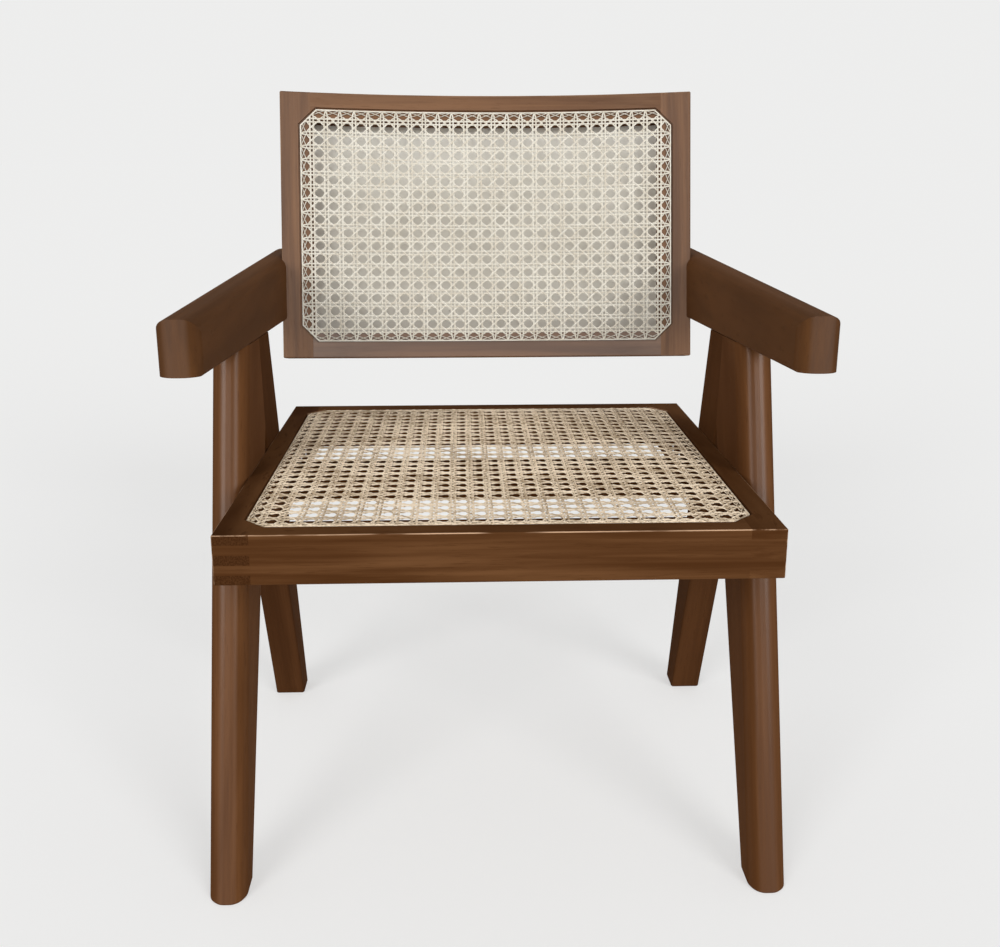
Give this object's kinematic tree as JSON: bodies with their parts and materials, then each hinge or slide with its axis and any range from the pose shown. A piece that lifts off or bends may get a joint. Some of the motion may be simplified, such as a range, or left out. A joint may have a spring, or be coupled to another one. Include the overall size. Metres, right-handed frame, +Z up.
{
  "type": "dining armchair",
  "caption": "Wooden dining armchair with V-shaped side legs, level armrests, a woven cane seat in a finger-jointed frame and a tilted, gently curved back caned on both faces.",
  "frame": {"origin": "on the floor, under the middle of the chair's bounding box", "axes": "+X to the right as seen from the front, +Y from the seat's front edge to the back, +Z up"},
  "size_m": [0.574, 0.5808, 0.783],
  "materials": {
    "frame_wood": "satin, dark red-brown",
    "leg_wood": "satin, dark brown",
    "back_wood": "satin, dark brown",
    "dowel_wood": "bare",
    "cane": "natural cane, soft sheen",
    "screw_steel": "plain"
  },
  "bodies": {
    "root": {"left_armrest": "frame_wood", "right_armrest": "frame_wood", "left_front_leg": "leg_wood", "right_front_leg": "leg_wood", "left_rear_leg": "leg_wood", "right_rear_leg": "leg_wood", "seat_front_rail": "frame_wood", "seat_rear_rail": "frame_wood", "seat_left_rail": "frame_wood", "seat_right_rail": "frame_wood", "seat_middle_brace": "frame_wood", "back_top_rail": "back_wood", "back_bottom_rail": "back_wood", "back_left_stile": "back_wood", "back_right_stile": "back_wood", "seat_cane": "cane", "back_front_cane": "cane", "back_rear_cane": "cane", "arm_dowels": "dowel_wood", "leg_dowels": "dowel_wood", "arm_plugs": "frame_wood", "seat_screws": "screw_steel", "back_screws": "screw_steel"}
  },
  "joints": []
}
